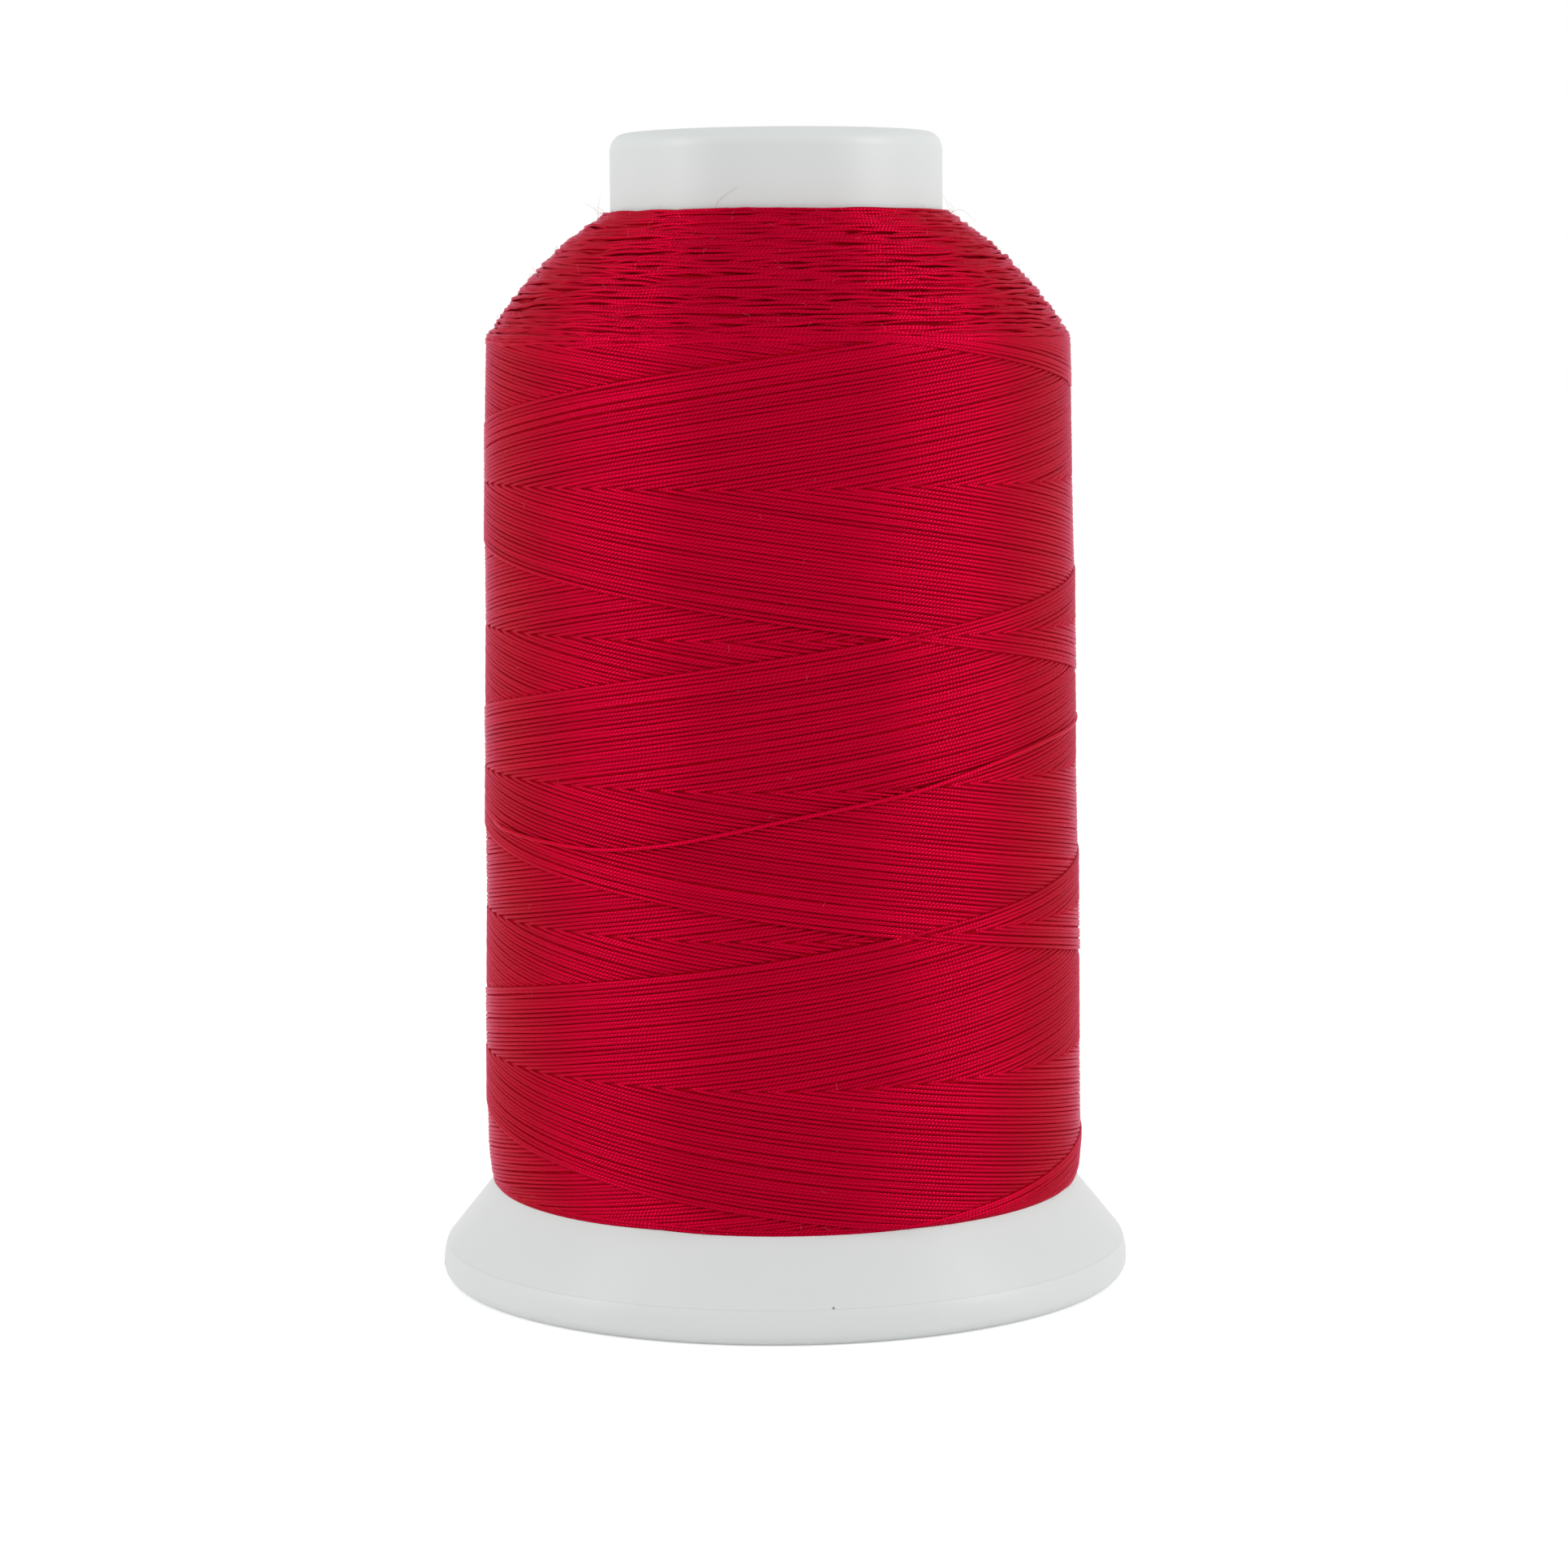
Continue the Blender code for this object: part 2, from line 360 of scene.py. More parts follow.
@dataclass(frozen=True)
class MouldedPolypropylene:
    """White polypropylene, injection moulded in a satin-blasted tool.

    It is a soft, slightly cool white with broad, dull highlights, and the skin has a very fine
    unevenness that keeps them from being clean. A speck is grey, and the nick in the foot's rim
    is painted grey as painted shade.
    """

    name: str = "moulded_white_polypropylene"
    colour: str = "#D7DBDA"
    shade_colour: str = "#D1D5D4"
    # grey of a real speck, also used as painted shade in the nick of the foot's rim
    speck_and_shade_colour: str = "#6E6E74"
    roughness: float = 0.42
    roughness_range: Pair = (-0.04, 0.06)
    ior: float = 1.49
    cloud_size: float = 9.0
    skin_size: float = 0.35
    skin_depth: float = 0.0035
    mark_core: float = 0.5
    # place and reach of each spot: a real speck in front, and painted shade in the nick of the
    # foot's rim
    speck_and_shade_spots: tuple[tuple[float, float, float, float], ...] = (
        (2.76, -20.8, 2.2, 0.12),
        (-21.05, -2.75, 0.72, 0.34),
    )

    def make(self) -> Finish:
        """Build the material.

        Returns:
            The material.
        """
        material, tree, shader = new_surface(self.name)
        place = add_node(tree, "TexCoord", output="Object")
        cloud = add_node(
            tree, "TexNoise", {"Vector": place, "Scale": 1 / (self.cloud_size * MM), "Detail": 3.0}
        )
        tints = {"Factor": cloud, "A": linear(self.colour), "B": linear(self.shade_colour)}
        colour = add_node(tree, "Mix", tints, output="Result", data_type="RGBA")
        # the first spot is a real speck; the second is painted shade, grey in the nick of the
        # foot's rim
        for *middle, reach in self.speck_and_shade_spots:
            ends = {0: place, 1: tuple(value * MM for value in middle)}
            distance = add_node(tree, "VectorMath", ends, output="Value", operation="DISTANCE")
            edges = {"From Min": reach * MM, "From Max": reach * MM * self.mark_core}
            inside = add_node(tree, "MapRange", {"Value": distance, **edges})
            tints = {"Factor": inside, "A": colour, "B": linear(self.speck_and_shade_colour)}
            colour = add_node(tree, "Mix", tints, output="Result", data_type="RGBA")
        skin = add_node(
            tree, "TexNoise", {"Vector": place, "Scale": 1 / (self.skin_size * MM), "Detail": 4.0}
        )
        bump = add_node(tree, "Bump", {"Height": skin, "Distance": self.skin_depth * MM})
        low, high = self.roughness_range
        dull = {"To Min": self.roughness + low, "To Max": self.roughness + high}
        gloss = add_node(tree, "MapRange", {"Value": cloud, **dull})
        looks = {"Base Color": colour, "Roughness": gloss, "Normal": bump, "IOR": self.ior}
        feed(tree, shader, looks)
        return material


@dataclass(frozen=True)
class TwistedCotton:
    """Mercerised long-staple cotton, three plies twisted together and dyed crimson.

    Each ply is a short ridge with a groove after it, so a strand looks like a string of beads. The
    groove is painted a darker colour as painted shade, and the ridge, only on the strand's outward
    side, a lighter, pinker one as a painted highlight. Mercerising makes it lustrous, in its own
    colour, and the cut fibres on it give a faint pink sheen where it is seen at a slant.
    """

    name: str = "mercerised_three_ply_cotton"
    colour: str = "#A3001E"
    # painted shade: darker colour in the grooves between the plies
    groove_shade_colour: str = "#980019"
    # painted highlight: lighter, pinker colour of a ply ridge on the strand's outward side
    crest_highlight_colour: str = "#BA0433"
    gloss_colour: str = "#FF5CAC"
    sheen_colour: str = "#FF4E9A"
    twist_length: float = 0.76
    plies: int = 3
    ply_depth: float = 0.015
    groove_rise: Pair = (0.0, 0.65)
    crest_rise: Pair = (0.6, 1.0)
    # painted highlight: where round the strand the ridge's lighter colour is put, only on its
    # outward side
    highlight_side_rise: Pair = (0.35, 0.95)
    fibre_size: float = 0.03
    fibre_depth: float = 0.002
    roughness: float = 0.24
    ior: float = 1.54
    gloss: float = 0.05
    lustre: float = 0.6
    sheen: float = 0.03
    sheen_roughness: float = 0.3
    tone_reach: float = 0.10

    def make(self) -> Finish:
        """Build the material, which reads each strand's map: millimetres along, turns round.

        Returns:
            The material.
        """
        material, tree, shader = new_surface(self.name)
        strand = add_node(tree, "UVMap", uv_map=STRAND_MAP)
        along = add_node(tree, "SeparateXYZ", {"Vector": strand}, output="X")
        around = along.node.outputs["Y"]
        turns = {0: along, 1: 1 / self.twist_length, 2: around}
        twist = add_node(tree, "Math", turns, operation="MULTIPLY_ADD")
        ply = add_node(tree, "Math", {0: twist, 1: self.plies}, operation="MULTIPLY")
        share = add_node(tree, "Math", {0: ply}, operation="FRACT")
        side = add_node(tree, "Math", {0: share, 1: 2.0, 2: -1.0}, operation="MULTIPLY_ADD")
        square = add_node(tree, "Math", {0: side, 1: side}, operation="MULTIPLY")
        ridge = add_node(tree, "Math", {0: 1.0, 1: square}, operation="SUBTRACT")
        angle = add_node(tree, "Math", {0: around, 1: math.tau}, operation="MULTIPLY")
        facing = add_node(tree, "Math", {0: angle}, operation="COSINE")
        rises = (
            (ridge, self.groove_rise),
            (ridge, self.crest_rise),
            (facing, self.highlight_side_rise),
        )
        groove, crest, outside = (
            add_node(
                tree,
                "MapRange",
                {"Value": value, "From Min": low, "From Max": high},
                interpolation_type="SMOOTHSTEP",
            )
            for value, (low, high) in rises
        )
        # painted highlight: the ridge is painted lighter only on the strand's outward side
        bead = add_node(tree, "Math", {0: crest, 1: outside}, operation="MULTIPLY")
        # painted shade: the colour starts from the darker groove colour between the plies
        colour = linear(self.groove_shade_colour)
        for share, lighter in ((groove, self.colour), (bead, self.crest_highlight_colour)):
            tints = {"Factor": share, "A": colour, "B": linear(lighter)}
            colour = add_node(tree, "Mix", tints, output="Result", data_type="RGBA")
        tone = add_node(tree, "Attribute", output="Fac", attribute_name=TONE)
        light = {0: tone, 1: self.tone_reach, 2: 1.0}
        value = add_node(tree, "Math", light, operation="MULTIPLY_ADD")
        toned = add_node(tree, "HueSaturation", {"Value": value, "Color": colour})
        place = add_node(tree, "TexCoord", output="Object")
        fibres = add_node(
            tree, "TexNoise", {"Vector": place, "Scale": 1 / (self.fibre_size * MM), "Detail": 2.0}
        )
        skin = add_node(tree, "Bump", {"Height": fibres, "Distance": self.fibre_depth * MM})
        plied = add_node(
            tree, "Bump", {"Height": ridge, "Distance": self.ply_depth * MM, "Normal": skin}
        )
        looks = {
            "Base Color": toned,
            "Normal": plied,
            "Roughness": self.roughness,
            "IOR": self.ior,
            "Metallic": self.lustre,
            "Specular IOR Level": self.gloss,
            "Specular Tint": linear(self.gloss_colour),
            "Sheen Weight": self.sheen,
            "Sheen Roughness": self.sheen_roughness,
            "Sheen Tint": linear(self.sheen_colour),
        }
        feed(tree, shader, looks)
        return material


@dataclass(frozen=True)
class BuriedCotton:
    """The same cotton one layer down, where it shows only as darkness between the strands."""

    name: str = "buried_cotton"
    colour: str = "#AE001A"
    # painted shade: darker colour of the bands between the buried strands
    band_shade_colour: str = "#900012"
    strand_size: float = 0.24
    distortion: float = 0.6
    depth: float = 0.05
    roughness: float = 0.75
    ior: float = 1.54
    gloss: float = 0.02

    def make(self) -> Finish:
        """Build the material, with level bands as wide as a strand and painted shade between them.

        Returns:
            The material.
        """
        material, tree, shader = new_surface(self.name)
        place = add_node(tree, "TexCoord", output="Object")
        scale = BAND_PERIOD / (self.strand_size * MM)
        pattern = {"Vector": place, "Scale": scale, "Distortion": self.distortion}
        bands = add_node(tree, "TexWave", pattern, output="Fac", bands_direction="Z")
        # painted shade: the bands turn darker between the buried strands
        tints = {"Factor": bands, "A": linear(self.band_shade_colour), "B": linear(self.colour)}
        looks = {
            "Base Color": add_node(tree, "Mix", tints, output="Result", data_type="RGBA"),
            "Normal": add_node(tree, "Bump", {"Height": bands, "Distance": self.depth * MM}),
            "Roughness": self.roughness,
            "IOR": self.ior,
            "Specular IOR Level": self.gloss,
        }
        feed(tree, shader, looks)
        return material


@dataclass(frozen=True)
class LooseCotton:
    """Single cotton fibres that stand off the thread: too thin to hold much colour, so paler."""

    name: str = "loose_cotton_fibre"
    root_colour: str = "#C62C46"
    tip_colour: str = "#D99AA4"
    length: float = 1.6
    roughness: float = 0.6
    ior: float = 1.54

    def make(self) -> Finish:
        """Build the material, which pales from the root to the tip.

        Returns:
            The material.
        """
        material, tree, shader = new_surface(self.name)
        strand = add_node(tree, "UVMap", uv_map=STRAND_MAP)
        along = add_node(tree, "SeparateXYZ", {"Vector": strand}, output="X")
        share = add_node(tree, "MapRange", {"Value": along, "From Max": self.length})
        tints = {"Factor": share, "A": linear(self.root_colour), "B": linear(self.tip_colour)}
        tint = add_node(tree, "Mix", tints, output="Result", data_type="RGBA")
        feed(tree, shader, {"Base Color": tint, "Roughness": self.roughness, "IOR": self.ior})
        return material


# ---------------------------------------------------------------- moulded pieces


@dataclass
class Barrel:
    """The tube with its open collar, the base cone and the groove that holds the foot."""

    finish: Finish
    height: float = 69.9
    tube_radius: float = 10.1
    bore_radius: float = 8.7
    collar_fillet: Pair = (0.85, 1.1)
    mouth_fillet: float = 0.28
    cone_slope: float = 51.2
    cone_wall: float = 1.4
    seam_radius: float = 21.0
    seam_height: float = 2.1
    seam_gap: float = 0.004
    lip_round: float = 0.008
    groove_radius: float = 9.25
    groove_low: float = 16.86
    groove_high: float = 20.76
    collar_steps: int = 10
    mouth_steps: int = 5
    segments: int = 224

    def cone_height(self, radius: float) -> float:
        """Height of the cone's outside at this radius."""
        slope = math.tan(math.radians(self.cone_slope))
        return self.seam_height + (self.seam_radius - radius) * slope

    def outline(self) -> Outline:
        """Draw the barrel's wall.

        Returns:
            Its closed outline.
        """
        slope = math.radians(self.cone_slope)
        face = self.seam_height + self.seam_gap / 2
        foot = self.seam_radius - self.seam_gap / 2 / math.tan(slope)
        across = self.cone_wall / math.sin(slope)
        inwards, down = self.collar_fillet
        collar = (self.tube_radius - inwards, self.height - down)
        points = arc_points(collar, self.collar_fillet, 90, 0, self.collar_steps)
        points += [
            (self.tube_radius, self.cone_height(self.tube_radius)),
            (foot, face),
            (foot - across, face),
            (self.bore_radius, self.cone_height(self.bore_radius + across)),
            (self.bore_radius, self.groove_low),
            (self.groove_radius, self.groove_low),
            (self.groove_radius, self.groove_high),
            (self.bore_radius, self.groove_high),
        ]
        mouth = (self.bore_radius + self.mouth_fillet, self.height - self.mouth_fillet)
        reach = (self.mouth_fillet, self.mouth_fillet)
        return points + arc_points(mouth, reach, 180, 90, self.mouth_steps)

    def make(self) -> None:
        """Turn the barrel and finish it."""
        piece = turn_outline("barrel", self.outline(), self.segments)
        round_edges(piece, self.lip_round)
        put_on(piece, self.finish, SPOOL)
        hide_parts("spool_barrel")


@dataclass
class SnapFoot:
    """The rim under the seam, the recessed plate and the slotted sleeve with its snap bead."""

    finish: Finish
    seam_radius: float = 21.0
    lip_face: float = 2.098
    lip_width: float = 1.8
    bulge: float = 0.25
    bulge_height: float = 0.75
    sole_radius: float = 20.55
    sole_width: float = 2.2
    recess: float = 0.5
    plate_top: float = 1.5
    sleeve_radius: float = 8.4
    sleeve_wall: float = 1.2
    sleeve_tip: float = 20.46
    bead_radius: float = 8.95
    bead_height: float = 1.3
    bead_chamfer: float = 0.4
    slot_count: int = 4
    slot_width: float = 1.6
    slot_depth: float = 9.0
    ejector_ring: float = 13.4
    ejector_count: int = 4
    ejector_radius: float = 1.25
    ejector_depth: float = 0.12
    edge_round: float = 0.008
    nick_angle: float = 187.4
    nick_size: Triple = (0.7, 1.0, 0.5)
    nick_height: float = 0.72
    nick_out: float = 0.1
    cut_margin: float = 0.3
    peg_reach: float = 0.4
    upper_steps: int = 8
    lower_steps: int = 10
    segments: int = 224

    def outline(self) -> Outline:
        """Draw the foot before its sleeve is slotted.

        Returns:
            Its closed outline.
        """
        inner = self.sleeve_radius - self.sleeve_wall
        overhang = self.seam_radius - self.sole_radius + self.bulge
        lip_angle = math.degrees(math.acos((self.seam_radius - self.sole_radius) / overhang))
        upper = (self.lip_face - self.bulge_height) / math.sin(math.radians(lip_angle))
        centre = (self.sole_radius, self.bulge_height)
        points = [
            (inner, self.sleeve_tip),
            (self.bead_radius - self.bead_chamfer, self.sleeve_tip),
            (self.bead_radius, self.sleeve_tip - self.bead_chamfer),
            (self.bead_radius, self.sleeve_tip - self.bead_height + self.bead_chamfer),
            (self.sleeve_radius, self.sleeve_tip - self.bead_height),
            (self.sleeve_radius, self.plate_top),
            (self.seam_radius - self.lip_width, self.plate_top),
            (self.seam_radius - self.lip_width, self.lip_face),
        ]
        points += arc_points(centre, (overhang, upper), lip_angle, 0, self.upper_steps)
        lower = (overhang, self.bulge_height)
        points += arc_points(centre, lower, 0, -90, self.lower_steps)[1:]
        points += [
            (self.sole_radius - self.sole_width, 0.0),
            (self.sole_radius - self.sole_width, self.recess),
            (inner, self.recess),
        ]
        return points

    def make(self) -> None:
        """Turn the foot, slot its sleeve, mark its plate as an ejector does, and nick its rim."""
        piece = turn_outline("foot_moulding", self.outline(), self.segments)
        inner = self.sleeve_radius - self.sleeve_wall - self.cut_margin
        outer = self.bead_radius + self.cut_margin
        top = self.sleeve_tip + self.cut_margin
        low = self.sleeve_tip - self.slot_depth
        for index in range(self.slot_count):
            place = Vector(((inner + outer) / 2, 0, (top + low) / 2))
            size = (outer - inner, self.slot_width, top - low)
            cut_away(piece, block_cutter(size, place, 360 * index / self.slot_count))
        for index in range(self.ejector_count):
            turn = math.tau * (index + 0.5) / self.ejector_count
            place = Vector((math.cos(turn), math.sin(turn))) * self.ejector_ring
            low, high = self.recess - self.peg_reach, self.recess + self.ejector_depth
            cut_away(piece, upright_peg(self.ejector_radius, low, high, place))
        place = Vector((self.seam_radius + self.bulge + self.nick_out, 0, self.nick_height))
        cut_away(piece, block_cutter(self.nick_size, place, self.nick_angle))
        round_edges(piece, self.edge_round)
        put_on(piece, self.finish, FOOT)
        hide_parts("snap_foot")


# ---------------------------------------------------------------- thread


@dataclass
class PackageForm:
    """Outside of the wound thread, from its lower edge on the cone up to the collar."""

    side: tuple[Pair, ...] = (
        (18.05, 5.7),
        (18.3, 6.6),
        (18.42, 8.1),
        (18.42, 14.0),
        (18.35, 20.0),
        (18.22, 30.0),
        (18.1, 40.0),
        (17.95, 50.0),
        (17.78, 57.75),
    )
    shoulder_low_slope: float = 58.0
    shoulder_high_slope: float = 31.0
    shoulder_top: Pair = (10.4, 65.22)
    curve_points: int = 80
    table_step: float = 0.05
    window: int = 9
    table: Array = field(init=False)

    def __post_init__(self) -> None:
        """Sample the outline finely: distance, radius, height and the outward direction."""
        start = np.array(self.side[-1])
        top = np.array(self.shoulder_top)
        reach = np.linalg.norm(top - start) / 3
        low, high = np.radians((self.shoulder_low_slope, self.shoulder_high_slope))
        first = start + reach * np.array((-math.cos(low), math.sin(low)))
        second = top - reach * np.array((-math.cos(high), math.sin(high)))
        share = np.linspace(0, 1, self.curve_points)[1:, None]
        curve = (
            (1 - share) ** 3 * start
            + 3 * (1 - share) ** 2 * share * first
            + 3 * (1 - share) * share**2 * second
            + share**3 * top
        )
        track = np.concatenate([np.array(self.side), curve])
        steps = np.linalg.norm(np.diff(track, axis=0), axis=1)
        travelled = np.concatenate([[0.0], np.cumsum(steps)])
        distance = np.arange(0, travelled[-1], self.table_step)
        radius = np.interp(distance, travelled, track[:, 0])
        height = np.interp(distance, travelled, track[:, 1])
        window = np.ones(self.window) / self.window
        slopes = [
            np.pad(np.gradient(row), self.window // 2, mode="edge") for row in (height, radius)
        ]
        rise, spread = (np.convolve(row, window, mode="valid") for row in slopes)
        size = np.hypot(rise, spread)
        self.table = np.stack([distance, radius, height, rise / size, -spread / size])

    @property
    def length(self) -> float:
        """Distance along the outline from the lower edge to the collar."""
        return float(self.table[0, -1])

    def distance_of(self, height: Array | float) -> Array:
        """Distance along the outline at a height."""
        return np.interp(height, self.table[2], self.table[0])

    def radius_at(self, distance: float) -> float:
        """Radius of the outside at a distance along the outline."""
        return float(np.interp(distance, self.table[0], self.table[1]))

    def place(self, turn: Array, distance: Array, lift: Array) -> tuple[Array, Array]:
        """Find points on, over or under the outside.

        Args:
            turn: Angles from the front, in radians.
            distance: Distances along the outline.
            lift: Heights over the outside, negative inside it.

        Returns:
            The points and the outward directions there.
        """
        radius, height, out, up = (
            np.interp(distance, self.table[0], row) for row in self.table[1:]
        )
        reach = radius + lift * out
        points = np.stack(
            [reach * np.sin(turn), -reach * np.cos(turn), height + lift * up], axis=-1
        )
        outward = np.stack([out * np.sin(turn), -out * np.cos(turn), up], axis=-1)
        return points, outward


@dataclass
class StrandMesh:
    """Collects strands as closed tubes and makes one mesh of them."""

    sides: int = 8
    strands: list[tuple[Array, ...]] = field(default_factory=list)
    count: int = 0

    def add(
        self, path: Array, outward: Array, radius: float | Array, tone: float, start: float = 0.0
    ) -> None:
        """Add one strand.

        Args:
            path: Points along its middle.
            outward: A direction at each point that isn't along the strand.
            radius: Its radius, or the radius at each point.
            tone: How light it is, from -1 to 1.
            start: Where on its twist it begins, in millimetres.
        """
        ahead = np.gradient(path, axis=0)
        ahead /= np.linalg.norm(ahead, axis=1)[:, None]
        across = np.cross(ahead, outward)
        across /= np.linalg.norm(across, axis=1)[:, None]
        above = np.cross(across, ahead)
        angle = np.arange(self.sides) * math.tau / self.sides
        ring = (
            np.cos(angle)[None, :, None] * above[:, None, :]
            + np.sin(angle)[None, :, None] * across[:, None, :]
        )
        wide = np.broadcast_to(np.asarray(radius, float), (len(path),))
        points = path[:, None, :] + wide[:, None, None] * ring
        rings = len(path)
        number = self.count + np.arange(rings * self.sides).reshape(rings, self.sides)
        following = np.roll(number, -1, axis=1)
        quads = np.stack([number[:-1], following[:-1], following[1:], number[1:]], axis=-1)
        steps = np.linalg.norm(np.diff(path, axis=0), axis=1)
        along = start + np.concatenate([[0.0], np.cumsum(steps)])
        here = np.broadcast_to(along[:-1, None], (rings - 1, self.sides))
        there = np.broadcast_to(along[1:, None], (rings - 1, self.sides))
        low = np.broadcast_to(np.arange(self.sides) / self.sides, here.shape)
        high = low + 1 / self.sides
        corners = np.stack([here, low, here, high, there, high, there, low], axis=-1)
        caps = np.stack([number[0][::-1], number[-1]])
        cap_along = np.repeat([along[0], along[-1]], self.sides)
        cap_round = np.concatenate([low[0][::-1], low[0]])
        cap_map = np.stack([cap_along, cap_round], axis=-1)
        tones = np.full(rings * self.sides, tone)
        shapes = (points.reshape(-1, 3), quads.reshape(-1, 4), caps)
        self.strands.append((*shapes, corners.reshape(-1, 2), cap_map, tones))
        self.count += rings * self.sides

    def make(self, name: str) -> Piece:
        """Make one object of the strands.

        Args:
            name: Name of the object.

        Returns:
            The object, in the scene, with its strand map and tones.
        """
        points, quads, caps, quad_map, cap_map, tones = (
            np.concatenate(rows) for rows in zip(*self.strands)
        )
        piece = mesh_piece(name, points, quads.tolist() + caps.tolist())
        strand_map = piece.data.uv_layers.new(name=STRAND_MAP)
        places = np.concatenate([quad_map, cap_map]).astype(np.float32)
        strand_map.data.foreach_set("uv", places.ravel())
        tone = piece.data.attributes.new(TONE, "FLOAT", "POINT")
        tone.data.foreach_set("value", tones.astype(np.float32))
        return piece


@dataclass
class Winding:
    """The law of the outermost layer: which strand lies where, and which family shows.

    A strand's age runs from 0, just laid, to 1, laid one whole layer before. The rising and the
    falling strands of one layer cross along level rows half a pitch apart.
    """

    pitch: float = 17.35
    strands: int = 72
    rising_edge: float = 39.3
    falling_edge: float = 41.5
    low: float = 5.7
    high: float = 57.75
    overrun: float = 0.85
    lean: float = 0.3
    lean_turn: float = -80.0
    around: float = math.tau * 18.1
    layer: float = 0.15
    low_turn: float = 1.6
    high_turn: float = 6.0

    @property
    def row_shift(self) -> float:
        """How far the rows are shifted round the spool, in half pitches."""
        return (self.rising_edge - self.falling_edge) / self.pitch

    @property
    def slope(self) -> float:
        """Rise of a strand per millimetre round the spool."""
        return self.pitch / self.around

    def rows(self, family: Family) -> range:
        """Rows at which visible runs of one family start.

        Args:
            family: Rising or falling.

        Returns:
            Their numbers, counted along the family's own way.
        """
        middle = (self.rising_edge + self.falling_edge) / 2
        below = round((middle - self.low) / (self.pitch / 2))
        above = round((self.high - middle) / (self.pitch / 2))
        return range(-below, above) if family is Family.RISING else range(-above, below)

    def run(self, row: int, age: float) -> Pair:
        """Where a strand of an age shows: start and end of its run from a row, in turns."""
        return (row - self.row_shift) / 2 + age, (row + 1 + age - self.row_shift) / 2

    @property
    def early(self) -> float:
        """How far before its row a strand turns round at the top."""
        return self.overrun / self.slope

    def reach_high(self, start: float) -> float:
        """Height at which the lines of a strand that turns round at the top would meet."""
        lean = self.lean * math.cos(start * math.tau - math.radians(self.lean_turn))
        return self.high + self.overrun + lean

    def height(self, family: Family, turns: Array, age: float, high: float) -> Array:
        """Height of a strand's middle.

        Args:
            family: Rising or falling.
            turns: Turns from the front.
            age: The strand's age.
            high: Height at which its lines meet at the top.

        Returns:
            The heights, with the strand's rounded turn at each end of the stroke.
        """
        if family is Family.RISING:
            line = self.rising_edge + self.pitch * (turns - age)
            start, end = self.low, high
        else:
            line = self.falling_edge + self.pitch * (age - turns)
            start, end = high, self.low
        way = family.value
        since = (line - start) * way / self.slope
        left = (end - line) * way / self.slope
        first = self.low_turn if start == self.low else self.high_turn
        last = self.high_turn if start == self.low else self.low_turn
        line = line + way * self.slope * (np.hypot(since, first) - since)
        return line - way * self.slope * (np.hypot(left, last) - left)

    def least_age(self, turns: Array, height: Array) -> Array:
        """Find the strand that shows at each place.

        Args:
            turns: Turns from the front.
            height: Heights.

        Returns:
            Its age.
        """
        rising = (self.rising_edge + self.pitch * turns - height) / self.pitch
        falling = (height - self.falling_edge + self.pitch * turns) / self.pitch
        return np.minimum(rising % 1, falling % 1)


@dataclass
class ThreadPart:
    """What every part of the wound thread is made with."""

    finish: Finish
    form: PackageForm
    winding: Winding
    radius: float = 0.14
    step: float = 0.9
    seed: int = 40

    def dress(self, strands: StrandMesh, name: str) -> None:
        """Make one piece of strands that show.

        Args:
            strands: The strands.
            name: Name of the piece.
        """
        piece = strands.make(name)
        put_on(piece, self.finish, SPOOL)
        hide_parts("thread_outer_layer")


@dataclass
class BuriedLayer(ThreadPart):
    """The thread under the strands, one closed body with their relief."""

    around: int = 360
    spacing: float = 0.32
    low_margin: float = 0.15
    high_margin: float = 0.3
    depth: float = 0.11
    shoulder_depth: float = 0.23
    inner_radius: float = 10.25
    inner_drop: float = 0.1
    inner_heights: Pair = (40.0, 16.2)

    def make(self) -> None:
        """Make the body: rings up its outside, then rings down its inside, joined by faces."""
        law = self.winding
        turn = np.arange(self.around) * math.tau / self.around
        distance = np.arange(self.low_margin, self.form.length - self.high_margin, self.spacing)
        grid_turn, grid_distance = np.meshgrid(turn, distance)
        height = np.interp(grid_distance, self.form.table[0], self.form.table[2])
        age = law.least_age(grid_turn / math.tau, height)
        relief = law.layer * (0.5 - age) - self.depth
        lift = np.where(height > law.high - self.high_margin, -self.shoulder_depth, relief)
        points, _ = self.form.place(grid_turn, grid_distance, lift)
        level = self.inner_radius * np.stack([np.sin(turn), -np.cos(turn)], axis=-1)
        inner = [
            np.column_stack([level, np.full(self.around, height)])
            for height in (points[-1, 0, 2] - self.inner_drop, *self.inner_heights)
        ]
        rings = np.concatenate([points, np.stack(inner)])
        number = np.arange(rings.shape[0] * self.around).reshape(rings.shape[0], self.around)
        right = np.roll(number, -1, axis=1)
        above = np.roll(number, -1, axis=0)
        above_right = np.roll(right, -1, axis=0)
        quads = np.stack([number, right, above_right, above], axis=-1).reshape(-1, 4)
        piece = mesh_piece("thread_buried", rings.reshape(-1, 3), quads.tolist())
        put_on(piece, self.finish, SPOOL)
        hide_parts("thread_core")


